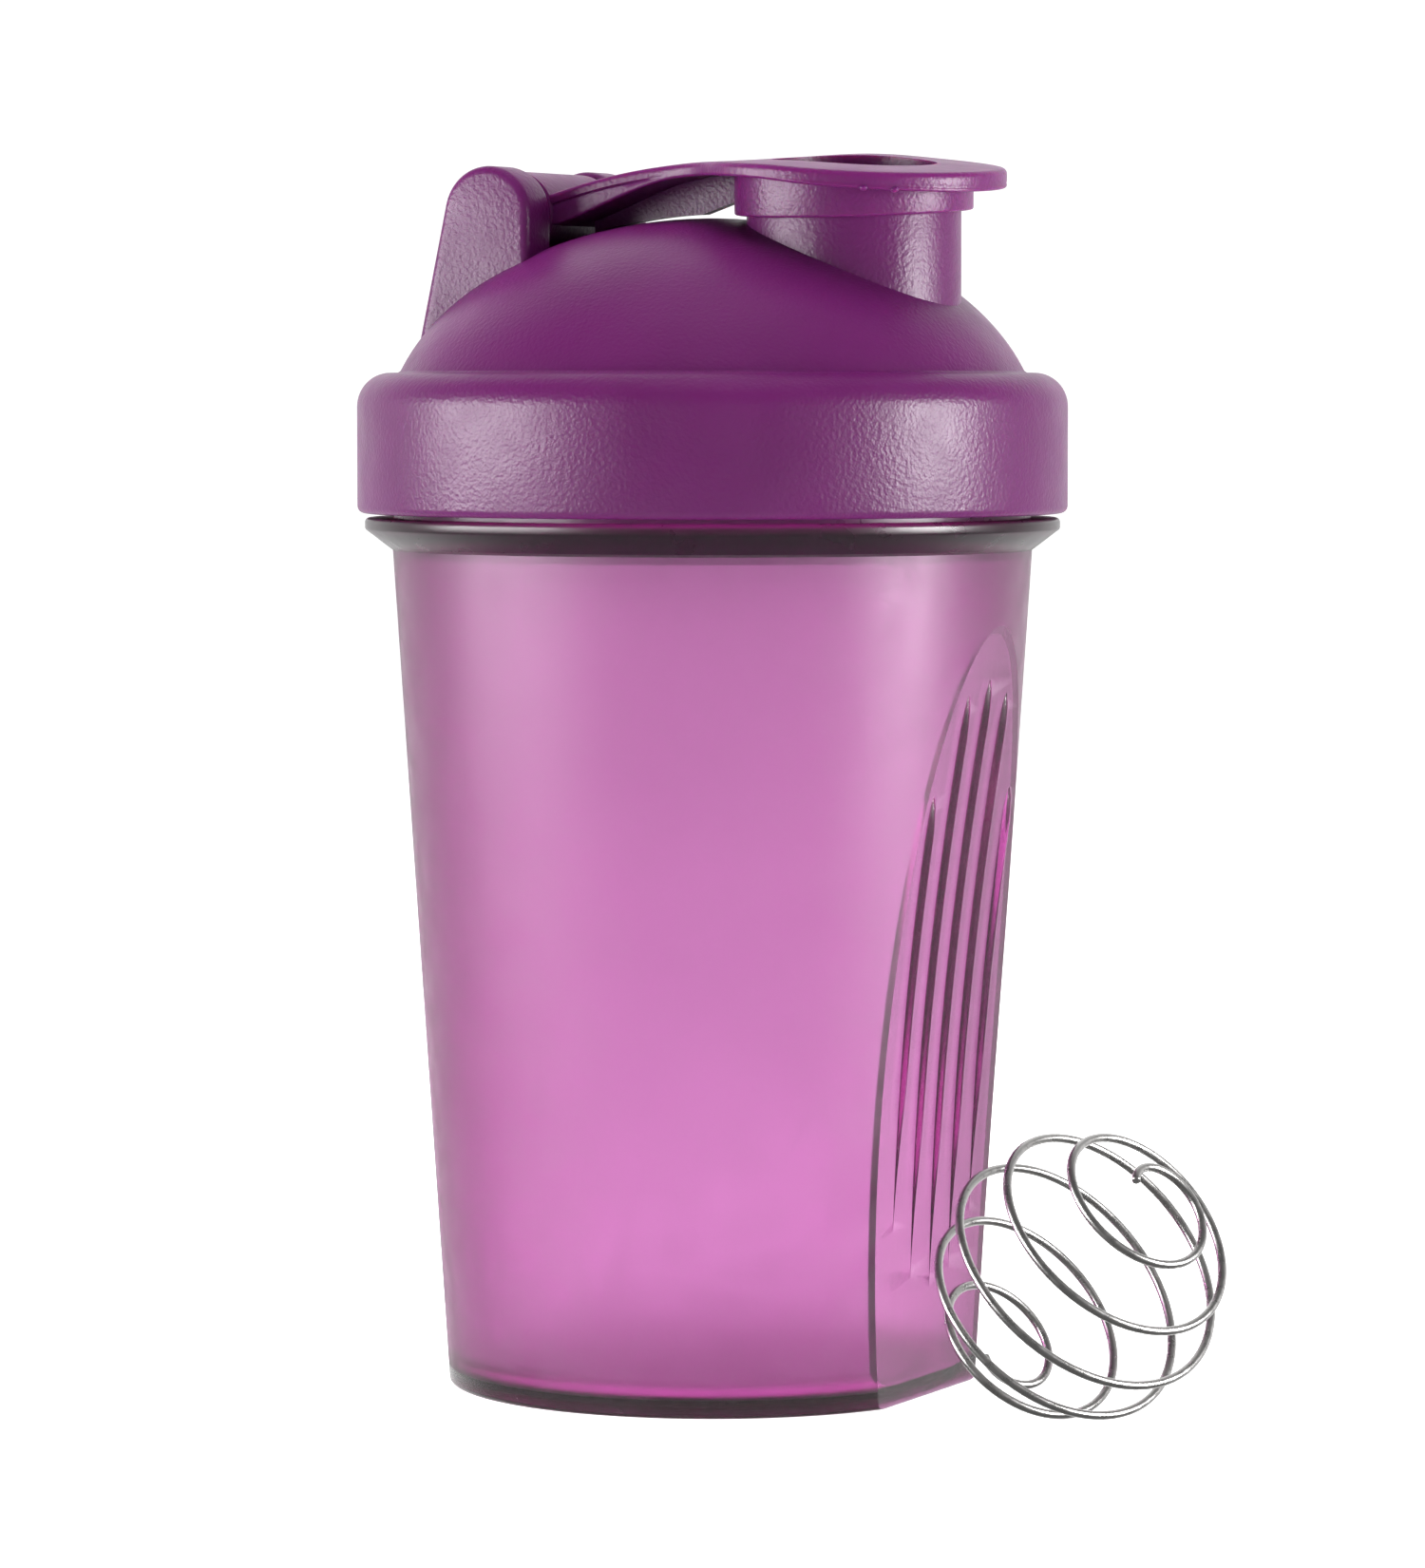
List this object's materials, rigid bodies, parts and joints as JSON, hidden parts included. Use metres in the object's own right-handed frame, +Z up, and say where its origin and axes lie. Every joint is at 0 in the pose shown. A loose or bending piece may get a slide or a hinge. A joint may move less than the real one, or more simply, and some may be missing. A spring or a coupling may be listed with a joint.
{
  "type": "protein shaker bottle",
  "caption": "Tapered translucent cup with grip panels, a domed screw lid with a hinged flip cap over its spout, and a loose wire whisk ball beside it.",
  "frame": {"origin": "middle of the flat underside of the cup, on the cup's axis", "axes": "+Z up along the cup's axis, +X from the cap's hinge to the spout, Y along the hinge"},
  "size_m": [0.1247, 0.095, 0.1639],
  "materials": {
    "cup": "frosted translucent polypropylene, clear in the grip panels",
    "lid": "fine satin moulding texture",
    "seal": "soft silicone",
    "wire": "polished stainless wire"
  },
  "bodies": {
    "cup_body": {"cup": "cup"},
    "seal_body": {"seal_ring": "seal"},
    "lid_body": {"lid": "lid"},
    "cap_body": {"flip_cap": "lid"},
    "ball_body": {"whisk_ball": "wire"}
  },
  "joints": [
    {"name": "lid_rise", "type": "slide", "parent": "cup_body", "child": "seal_body", "axis": [0, 0, 1], "range_m": [0, 0.0181]},
    {"name": "lid_turn", "type": "hinge", "parent": "seal_body", "child": "lid_body", "pos_m": [0, 0, 0.1255], "axis": [0, 0, 1], "range_deg": [0, 1080]},
    {"name": "cap_flip", "type": "hinge", "parent": "lid_body", "child": "cap_body", "pos_m": [-0.0249, 0, 0.1565], "axis": [0, -1, 0], "range_deg": [0, 190]},
    {"name": "ball_lift", "type": "slide", "parent": "cup_body", "child": "ball_body", "axis": [0.6938, -0.1365, 0.7071], "range_m": [0, 0.12]}
  ],
  "couplings": [
    {"joint": "lid_rise", "follows": "lid_turn", "m_per_rad": 0.00095493}
  ]
}
